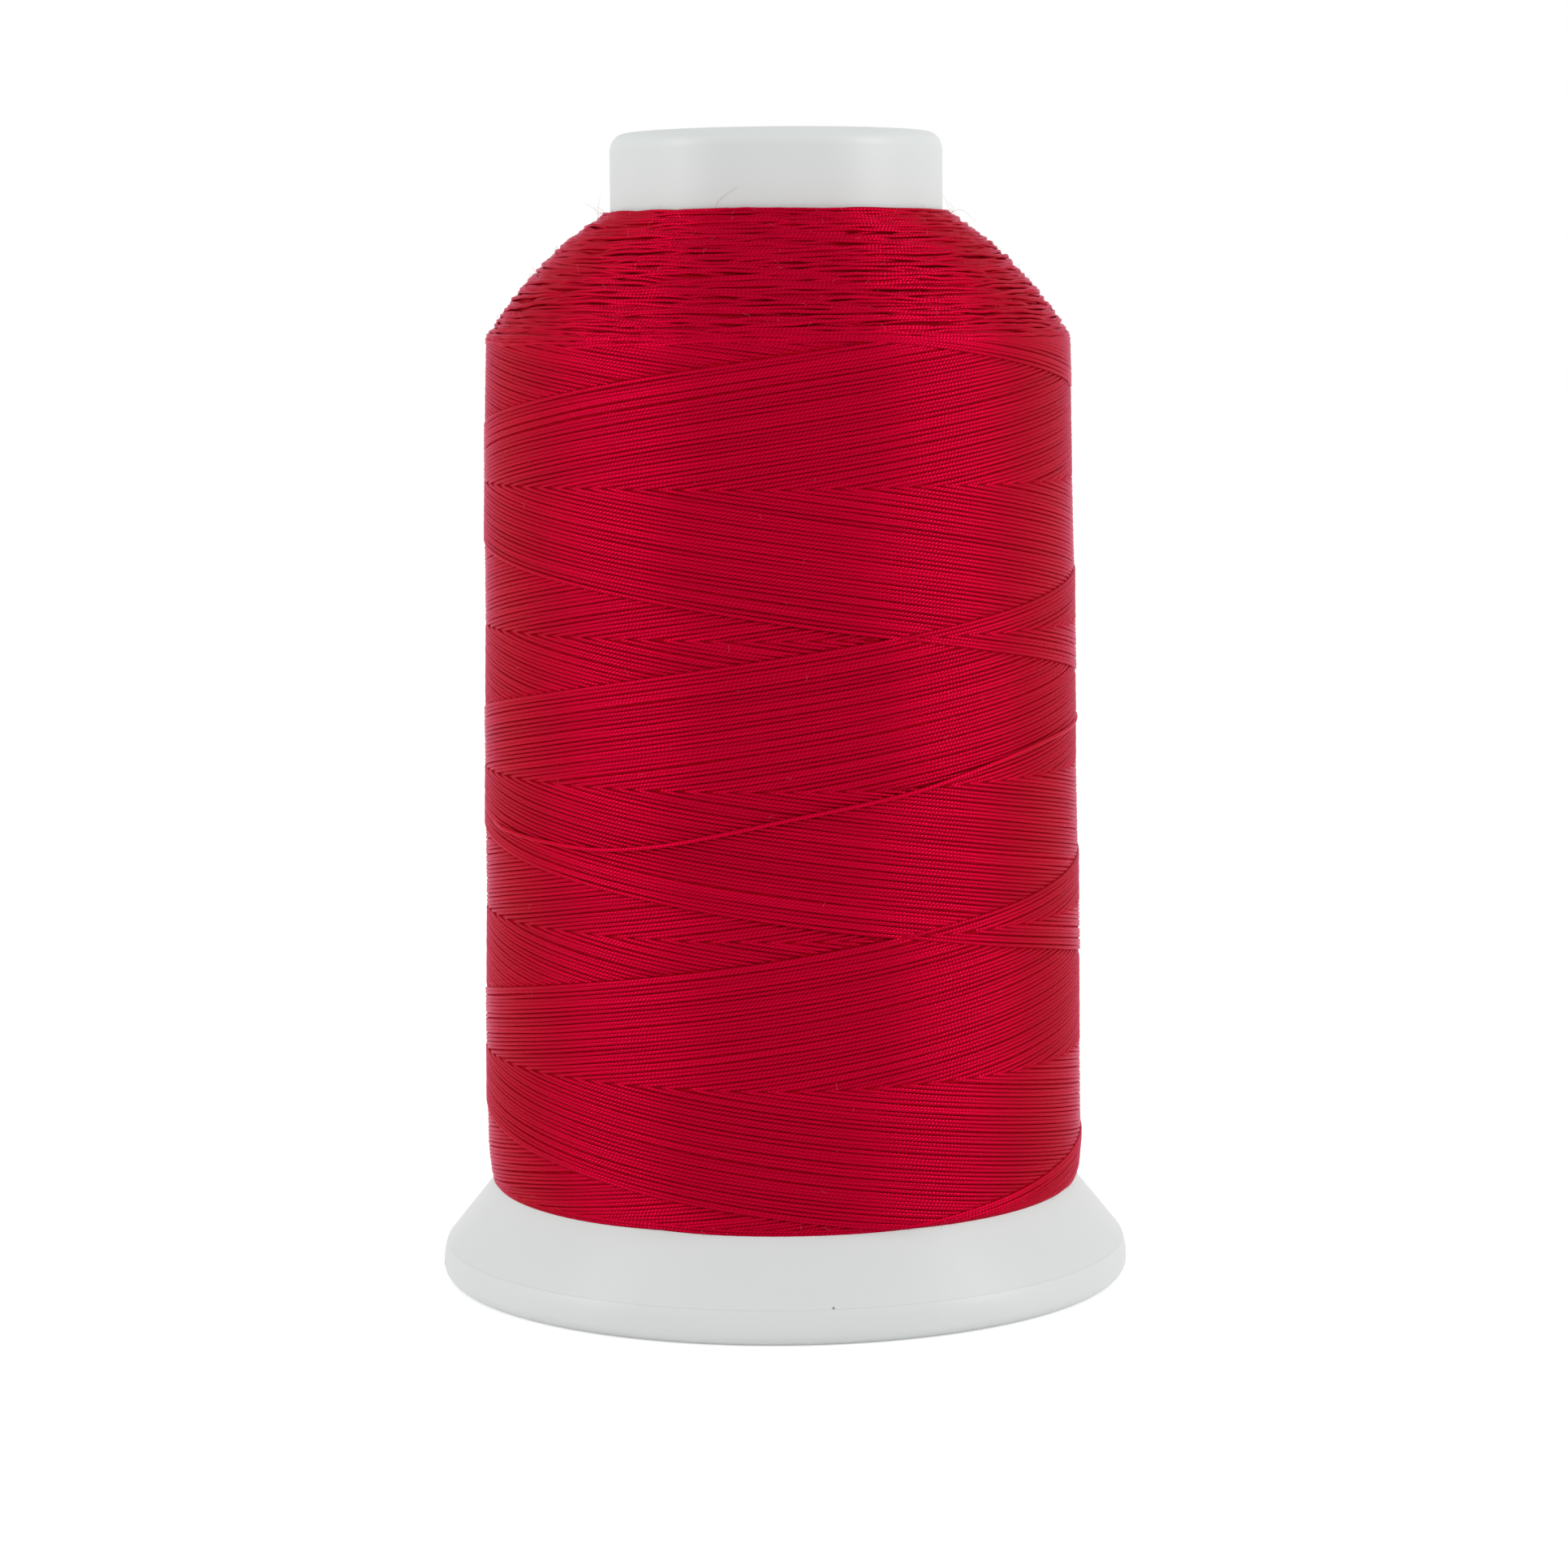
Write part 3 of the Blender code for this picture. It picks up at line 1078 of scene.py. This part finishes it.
@dataclass
class SideStrands(ThreadPart):
    """The rising and the falling strands on the package's side.

    Strands lie in small bunches, and the youngest stray most. A run begins and ends out of sight,
    under its neighbours, and begins further back where it comes out of a turn-round.
    """

    bunch: tuple[int, int] = (3, 8)
    pull: float = 0.05
    jitter: float = 0.04
    young: int = 8
    young_jitter: float = 0.08
    tone_spread: float = 0.45
    top_spread: float = 0.06
    low_zone: float = 1.0
    turn_lead: float = 4.5
    tuck: float = 1.3
    dive: float = 0.2
    dive_start: float = 0.5
    dive_end: float = 0.8
    least_points: int = 6
    wander: Wander = (0.022, (9, 40))
    bob: Wander = (0.008, (5, 16))

    def bunched(self, rng: Draws) -> Array:
        """Ages of one family's strands, drawn together in small bunches with gaps between.

        Args:
            rng: Source of the draws.

        Returns:
            The ages, youngest first.
        """
        count = self.winding.strands
        places = np.arange(count, dtype=float)
        number = 0
        while number < count:
            size = min(int(rng.integers(*self.bunch)), count - number)
            pull = rng.uniform(0.0, self.pull)
            places[number:number + size] -= pull * (np.arange(size) - (size - 1) / 2)
            number += size
        places += rng.normal(0, self.jitter, count)
        places[:self.young] += rng.normal(0, self.young_jitter, self.young)
        return np.clip(places, 0, None) / count

    def runs(
        self, family: Family, low: float, high: float, rng: Draws
    ) -> Iterator[tuple[Array, Array, float]]:
        """Visible runs of one family that start between two heights.

        Args:
            family: Rising or falling.
            low: Least height at which a run starts.
            high: Height below which it starts.
            rng: Source of the draws.

        Yields:
            The middle line of a run, the outward directions and the strand's tone.
        """
        law = self.winding
        for row in law.rows(family):
            ages = self.bunched(rng)
            tones = np.clip(rng.normal(0, self.tone_spread, law.strands), -1, 1)
            for age, tone in zip(ages, tones):
                start, end = law.run(row, age)
                top = law.reach_high(start) + rng.normal(0, self.top_spread)
                height = law.height(family, np.array([start]), age, top)[0]
                if end <= start or not low <= height < high:
                    continue
                at_top = family is Family.FALLING and row == law.rows(family)[0]
                at_turn = at_top or abs(height - law.low) < self.low_zone
                if at_top:
                    start -= law.early / law.around
                before = self.turn_lead if at_turn else self.tuck
                first = start - before / law.around
                last = end + self.tuck / law.around
                count = max(self.least_points, int((last - first) * law.around / self.step))
                turns = np.linspace(first, last, count)
                along = (turns - start) * law.around
                left = (end - turns) * law.around
                wander = waves(along, *self.wander, rng)
                level = law.height(family, turns, age, top) + wander
                sunk = np.clip((self.dive_start - along) / before, 0, 1)
                sunk = sunk + np.clip(self.dive_end - left, 0, 1)
                lift = law.layer * (0.5 - age) - self.radius - self.dive * np.clip(sunk, 0, 1)
                lift = lift + waves(along, *self.bob, rng)
                distance = self.form.distance_of(level)
                yield *self.form.place(turns * math.tau, distance, lift), float(tone)

    def make(self) -> None:
        """Lay each family in two pieces, below and above the middle of the side."""
        law = self.winding
        middle = (law.low + law.high) / 2
        for index, family in enumerate(Family):
            for part, low, high in (("lower", -math.inf, middle), ("upper", middle, math.inf)):
                rng = np.random.default_rng(self.seed + index * 10 + len(part))
                strands = StrandMesh()
                for path, outward, tone in self.runs(family, low, high, rng):
                    strands.add(path, outward, self.radius, tone, rng.uniform(0, 1))
                self.dress(strands, f"thread_{family.name.lower()}_{part}")


@dataclass
class Shoulder(ThreadPart):
    """The turn-rounds of the older layers, which show as level courses on the shoulder.

    Each course is a few arcs. Those that stand out are given lighter tones as painted light, and
    lie on a closer bed given darker tones as painted shade.
    """

    radius: float = 0.143  # a strand isn't pressed flat here
    rise: float = 0.28
    bed: float = 0.25
    bed_depth: float = 0.1
    # painted shade: darker tones for the bed; painted light: lighter tones for the courses on it
    bed_shade_tones: Pair = (-0.7, 0.4)
    tones: Pair = (-0.1, 1.3)
    edge: tuple[float, ...] = (-0.3, -0.15, 0.0, 0.15, 0.3)
    first: float = 0.5
    margin: float = 0.3
    collar_gap: float = 0.6
    arc: float = 11.0
    stagger: float = 0.3
    overlap: Pair = (0.5, 4.0)
    step: float = 0.62
    steep_share: float = 0.4
    slants: Pair = (0.045, 0.012)
    sag: float = 0.2
    spread: float = 0.045
    wander: Wander = (0.05, (5, 18))
    crinkle: Wander = (0.022, (1.8, 4.5))
    lift_spread: float = 0.03
    bob: Wander = (0.032, (1.8, 7))
    sink: float = 0.22
    sink_length: float = 3.0

    def make(self) -> None:
        """Lay the bed, then the courses on it and the last one round the collar."""
        law = self.winding
        rng = np.random.default_rng(self.seed + 100)
        strands = StrandMesh(sides=6)
        low = float(self.form.distance_of(law.high)) - self.margin
        high = self.form.length - self.collar_gap * self.radius
        # painted shade: the bed is laid with darker tones
        for course in np.arange(low, high - self.bed_depth, self.bed):
            self.lay_course(strands, rng, course, self.bed_depth, self.bed_shade_tones)
        top = self.form.shoulder_top[1] + self.margin
        heights = np.arange(law.high + self.first, top, self.rise)
        heights = np.concatenate([law.high + np.array(self.edge), heights])
        # painted light: the courses that stand out are laid with lighter tones
        for course in (*self.form.distance_of(heights), high):
            self.lay_course(strands, rng, float(course), 0.0, self.tones)
        self.dress(strands, "thread_shoulder")

    def lay_course(
        self, strands: StrandMesh, rng: Draws, course: float, depth: float, tones: Pair
    ) -> None:
        """Lay one course as a few arcs whose ends go under their neighbours.

        Args:
            strands: Mesh that they go into.
            rng: Source of the draws.
            course: Distance of the course along the package's outline.
            depth: How far under the outside the course lies.
            tones: Darkest and lightest tone of a strand.
        """
        around = math.tau * self.form.radius_at(course)
        count = math.ceil(around / self.arc)
        shifts = rng.uniform(-self.stagger, self.stagger, count)
        middles = (np.arange(count) + shifts) * around / count
        steep, level = self.slants
        for middle in middles + rng.uniform(0, around):
            half = around / count / 2 + rng.uniform(*self.overlap)
            along = np.linspace(-half, half, 2 * int(half / self.step) + 1)
            slant = rng.normal(0, steep if rng.uniform() < self.steep_share else level)
            sag = self.sag * (np.abs(along) / half) ** 3
            distance = course + rng.normal(0, self.spread) + slant * along - sag
            distance = distance + waves(along, *self.wander, rng)
            distance = distance + waves(along, *self.crinkle, rng)
            past = (np.abs(along) - half + self.sink_length) / self.sink_length
            sunk = np.clip(past, 0, 1) ** 2
            lift = rng.normal(0, self.lift_spread) + waves(along, *self.bob, rng)
            lift = lift - self.radius - depth - self.sink * sunk
            distance = np.clip(distance, 0, self.form.length - self.radius * self.collar_gap)
            turn = (middle + along) / around * math.tau
            path, outward = self.form.place(turn, distance, lift)
            strands.add(path, outward, self.radius, rng.uniform(*tones), rng.uniform(0, 1))


@dataclass
class LowerEdge(ThreadPart):
    """The turn-rounds that close the package's lower edge on the cone."""

    courses: int = 2
    spacing: float = 0.2
    first: float = 0.13
    arcs: int = 7
    stagger: float = 0.2
    half: Pair = (10, 14)
    rise: float = 0.02
    flat: float = 5.0
    wander: Wander = (0.015, (8, 30))
    lift_spread: float = 0.01
    sink: float = 0.15
    # painted shade: the lower edge's strands, against the cone, are given darker tones
    tones: Pair = (-0.8, 0.3)

    def make(self) -> None:
        """Lay the courses as arcs whose ends rise and go under their neighbours."""
        rng = np.random.default_rng(self.seed + 200)
        strands = StrandMesh()
        around = self.winding.around
        for course in range(self.courses):
            for index in range(self.arcs):
                middle = (index + rng.uniform(-self.stagger, self.stagger)) * around / self.arcs
                half = rng.uniform(*self.half)
                along = np.linspace(-half, half, 2 * int(half / self.step) + 1)
                rise = self.rise * (np.hypot(along, self.flat) - self.flat)
                distance = self.first + course * self.spacing + rise
                distance = distance + waves(along, *self.wander, rng)
                sunk = self.sink * (along / half) ** 4
                lift = rng.normal(0, self.lift_spread) - self.radius - sunk
                turn = (middle + along) / around * math.tau
                path, outward = self.form.place(turn, distance, lift)
                # painted shade: each arc of the lower edge gets a darker tone
                tone = rng.uniform(*self.tones)
                strands.add(path, outward, self.radius, tone, rng.uniform(0, 1))
        self.dress(strands, "thread_lower_edge")


@dataclass
class LastTurn(ThreadPart):
    """The last turn over the package, and its end down the back into the seam."""

    # angle and height of points that the turn passes
    places: tuple[Pair, ...] = (
        (-92, 29.6), (-80, 29.0), (-64, 28.5), (-48, 28.2), (-35, 28.1), (-23, 28.5), (-9, 29.4),
        (1, 30.1), (12, 30.75), (25, 31.5), (38, 32.45), (54, 33.45), (75, 34.1), (96, 34.4),
        (118, 33.2), (138, 29.6), (154, 24.2), (168, 17.8), (178, 12.2), (184, 7.6),
    )
    # angle, radius and height of the end's points on the cone
    end: tuple[Triple, ...] = (
        (187.0, 18.25, 6.1), (191.0, 19.6, 4.25), (193.0, 20.75, 2.78), (194.5, 20.6, 2.1),
    )
    angle_step: float = 0.135
    step: float = 0.3
    lift: float = 0.13
    # painted highlight: the last turn is made lighter than the strands it lies on
    tone: float = 1.7
    tuck: float = 0.43
    tuck_angles: Pair = (-66.0, 12.0)
    press: float = 0.18
    press_angles: Pair = (88.0, 22.0)

    def make(self) -> None:
        """Lay the turn: it comes out from under others at the left, and lies close at the right."""
        turns, heights = self.smooth()
        start, width = self.tuck_angles
        tucked = np.clip((start - turns) / width, 0, 1)
        middle, width = self.press_angles
        pressed = np.exp(-(((turns - middle) / width) ** 2))
        lift = self.lift - self.tuck * tucked - self.press * pressed
        distance = self.form.distance_of(heights)
        path, _ = self.form.place(np.radians(turns), distance, lift)
        degrees, radius, height = np.array(self.end).T
        angle = np.radians(degrees)
        end = np.stack([radius * np.sin(angle), -radius * np.cos(angle), height], axis=-1)
        whole = self.resample(np.concatenate([path[:-1], end]))
        strands = StrandMesh(sides=12)
        # painted highlight: the turn is laid with its lighter tone
        strands.add(whole, whole * np.array([1.0, 1.0, 0.0]), self.radius, self.tone)
        self.dress(strands, "thread_last_turn")

    def smooth(self) -> tuple[Array, Array]:
        """Run a smooth curve through the turn's places.

        Returns:
            Angles, in degrees, and heights along the curve.
        """
        given, levels = np.array(self.places, float).T
        slopes = np.gradient(levels, given)
        angles = np.arange(given[0], given[-1], self.angle_step)
        index = np.clip(np.searchsorted(given, angles, side="right") - 1, 0, len(given) - 2)
        width = given[index + 1] - given[index]
        share = (angles - given[index]) / width
        heights = (
            (2 * share**3 - 3 * share**2 + 1) * levels[index]
            + (share**3 - 2 * share**2 + share) * width * slopes[index]
            + (3 * share**2 - 2 * share**3) * levels[index + 1]
            + (share**3 - share**2) * width * slopes[index + 1]
        )
        return angles, heights

    def resample(self, path: Array) -> Array:
        """Place points at equal steps along a path.

        Args:
            path: Its corners.

        Returns:
            The new points.
        """
        lengths = np.linalg.norm(np.diff(path, axis=0), axis=1)
        travelled = np.concatenate([[0.0], np.cumsum(lengths)])
        wanted = np.arange(0, travelled[-1], self.step)
        return np.stack([np.interp(wanted, travelled, row) for row in path.T], axis=-1)


@dataclass
class LooseFibres(ThreadPart):
    """Loose fibres: many short ones, thickest on the edges, and a few long ones by the collar."""

    radius: float = 0.009
    points: int = 7
    depth: float = 0.1
    stand: Pair = (0.25, 1.1)
    reach: float = 0.85
    curl: Pair = (0.15, 0.55)
    twist: float = 0.18
    twist_turn: Pair = (0.6, 1.8)
    clear: float = 10.14  # radius just outside the collar
    top_margin: float = 0.15

    def make(self) -> None:
        """Raise the fibres, group by group: their number, where they root and their length."""
        rng = np.random.default_rng(self.seed + 300)
        top = self.form.length - self.top_margin
        shoulder = float(self.form.distance_of(self.winding.high))
        groups = (
            (45, (top - 0.25, top), (0.25, 0.7)),
            (14, (top - 0.2, top), (1.2, 2.2)),
            (150, (0.1, 0.5), (0.15, 0.6)),
            (260, (shoulder, top), (0.15, 0.6)),
            (260, (0.5, shoulder), (0.15, 0.6)),
        )
        fibres = StrandMesh(sides=3)
        for count, roots, lengths in groups:
            for _ in range(count):
                self.raise_fibre(fibres, rng, rng.uniform(*roots), rng.uniform(*lengths))
        put_on(fibres.make("thread_fibres"), self.finish, SPOOL)

    def raise_fibre(self, fibres: StrandMesh, rng: Draws, distance: float, length: float) -> None:
        """Raise one fibre from the thread.

        Args:
            fibres: Mesh that it goes into.
            rng: Source of the draws.
            distance: Distance of its root along the package's outline.
            length: Its length.
        """
        turn = rng.uniform(0, math.tau)
        root, outward = self.form.place(np.array(turn), np.array(distance), np.array(-self.depth))
        level = np.array([math.cos(turn), math.sin(turn), 0.0])
        up = np.cross(outward, level)
        swing = rng.uniform(0, math.tau)
        heading = math.cos(swing) * level + math.sin(swing) * up
        heading = heading + rng.uniform(*self.stand) * outward
        heading /= np.linalg.norm(heading)
        bend = rng.normal(0, 1, 3)
        bend -= bend.dot(heading) * heading
        bend /= np.linalg.norm(bend)
        share = np.linspace(0, 1, self.points)[:, None]
        curl = rng.uniform(*self.curl) * length
        path = root + heading * share * length * self.reach + bend * curl * share**2
        sway = np.sin(share * math.pi * rng.uniform(*self.twist_turn))
        path = path + np.cross(heading, bend) * self.twist * length * sway
        radial = np.hypot(path[:, 0], path[:, 1])
        path[:, :2] *= (np.maximum(radial, self.clear) / radial)[:, None]
        taper = self.radius * (1 - 0.5 * share[:, 0])
        fibres.add(path, np.broadcast_to(bend, path.shape), taper, 0.0)


@dataclass
class Thread:
    """The wound thread, from the layer under its strands to its loose fibres."""

    finish: Finish
    buried: Finish
    fuzz: Finish
    form: PackageForm = field(default_factory=PackageForm)
    winding: Winding = field(default_factory=Winding)

    def make(self) -> None:
        """Make all of the thread."""
        BuriedLayer(self.buried, self.form, self.winding).make()
        for part in (SideStrands, Shoulder, LowerEdge, LastTurn):
            part(self.finish, self.form, self.winding).make()
        LooseFibres(self.fuzz, self.form, self.winding).make()


# ---------------------------------------------------------------- studio


@dataclass
class Studio:
    """Plain white floor and sky, two soft boxes and the camera."""

    camera_place: Triple = (0.165, -250.40, 58.12)
    camera_pitch: float = 83.635
    camera_roll: float = -0.4927
    lens: float = 93.66
    ambient: float = 0.72
    lamp_power: Pair = (0.95, 1.1)
    lamp_turn: float = 70.0
    lamp_rise: float = 22.0
    lamp_distance: float = 600.0
    lamp_size: Pair = (70.0, 240.0)
    aim_height: float = 35.0
    film_width: float = 36.0
    near: float = 10.0
    floor_colour: str = "#FAFAFA"
    floor_roughness: float = 0.9
    floor_size: float = 6000.0
    floor_gap: float = 0.02
    floor_glow: float = 0.36

    def set_camera(self) -> None:
        """Put the camera where the photograph was taken from."""
        data = bpy.data.cameras.new("camera")
        data.lens = self.lens
        data.sensor_width = self.film_width
        data.clip_start = self.near * MM
        camera = bpy.data.objects.new("camera", data)
        bpy.context.scene.collection.objects.link(camera)
        tilt = Matrix.Rotation(math.radians(self.camera_pitch), 4, "X")
        roll = Matrix.Rotation(math.radians(self.camera_roll), 4, "Z")
        place = Matrix.Translation(Vector(self.camera_place) * MM)
        camera.matrix_world = place @ tilt @ roll
        bpy.context.scene.camera = camera

    def seen_directly(self, tree: Tree) -> Socket:
        """Tell rays that show the background from those that light the object.

        Args:
            tree: Node tree that asks.

        Returns:
            An output of 1 for rays that show it, and of 0 for the others.
        """
        seen = add_node(tree, "LightPath", output="Is Camera Ray")
        rays = seen.node.outputs
        for kind in ("Is Glossy Ray", "Is Transmission Ray"):
            seen = add_node(tree, "Math", {0: seen, 1: rays[kind]}, operation="MAXIMUM")
        return seen

    def set_sky(self) -> None:
        """Make the sky white to the camera and softer as a light."""
        world = bpy.data.worlds.new("studio")
        world.use_nodes = True
        tree = world.node_tree
        tree.nodes.clear()
        levels = {"Value": self.seen_directly(tree), "To Min": self.ambient, "To Max": 1.0}
        strength = add_node(tree, "MapRange", levels)
        sky = add_node(tree, "Background", {"Color": WHITE, "Strength": strength})
        add_node(tree, "OutputWorld", {"Surface": sky})
        bpy.context.scene.world = world

    def set_floor(self) -> None:
        """Lay a wide pale floor that keeps the spool's soft shadow."""
        bpy.ops.object.select_all(action="DESELECT")
        bpy.ops.mesh.primitive_plane_add(
            size=self.floor_size * MM, location=(0, 0, -self.floor_gap * MM)
        )
        floor = bpy.context.object
        floor.name = "floor"
        material, tree, shader = new_surface("studio_floor")
        levels = {"Value": self.seen_directly(tree), "To Min": 0.0, "To Max": self.floor_glow}
        looks = {
            "Base Color": linear(self.floor_colour),
            "Roughness": self.floor_roughness,
            "Emission Color": WHITE,
            "Emission Strength": add_node(tree, "MapRange", levels),
        }
        feed(tree, shader, looks)
        floor.data.materials.append(material)

    def set_lamps(self) -> None:
        """Stand a tall soft box to the left and to the right of the camera."""
        rise = math.radians(self.lamp_rise)
        for side, power in zip((-1, 1), self.lamp_power):
            data = bpy.data.lights.new("soft_box", "AREA")
            data.shape = "RECTANGLE"
            data.size, data.size_y = (value * MM for value in self.lamp_size)
            data.energy = power
            lamp = bpy.data.objects.new("soft_box", data)
            bpy.context.scene.collection.objects.link(lamp)
            turn = math.radians(self.lamp_turn) * side
            level = math.cos(rise)
            way = Vector((math.sin(turn) * level, -math.cos(turn) * level, math.sin(rise)))
            lamp.location = (Vector((0, 0, self.aim_height)) + way * self.lamp_distance) * MM
            lamp.rotation_euler = way.to_track_quat("Z", "Y").to_euler()

    def make(self) -> None:
        """Set up the studio."""
        bpy.context.scene.view_settings.view_transform = "Standard"
        self.set_camera()
        self.set_sky()
        self.set_floor()
        self.set_lamps()


def main() -> None:
    """Build the spool and its studio."""
    logging.basicConfig(level=logging.INFO, format="%(name)s: %(message)s")
    white = MouldedPolypropylene().make()
    cotton = TwistedCotton().make()
    Studio().make()
    Barrel(white).make()
    SnapFoot(white).make()
    Thread(cotton, BuriedCotton().make(), LooseCotton().make()).make()


if __name__ == "__main__":
    main()
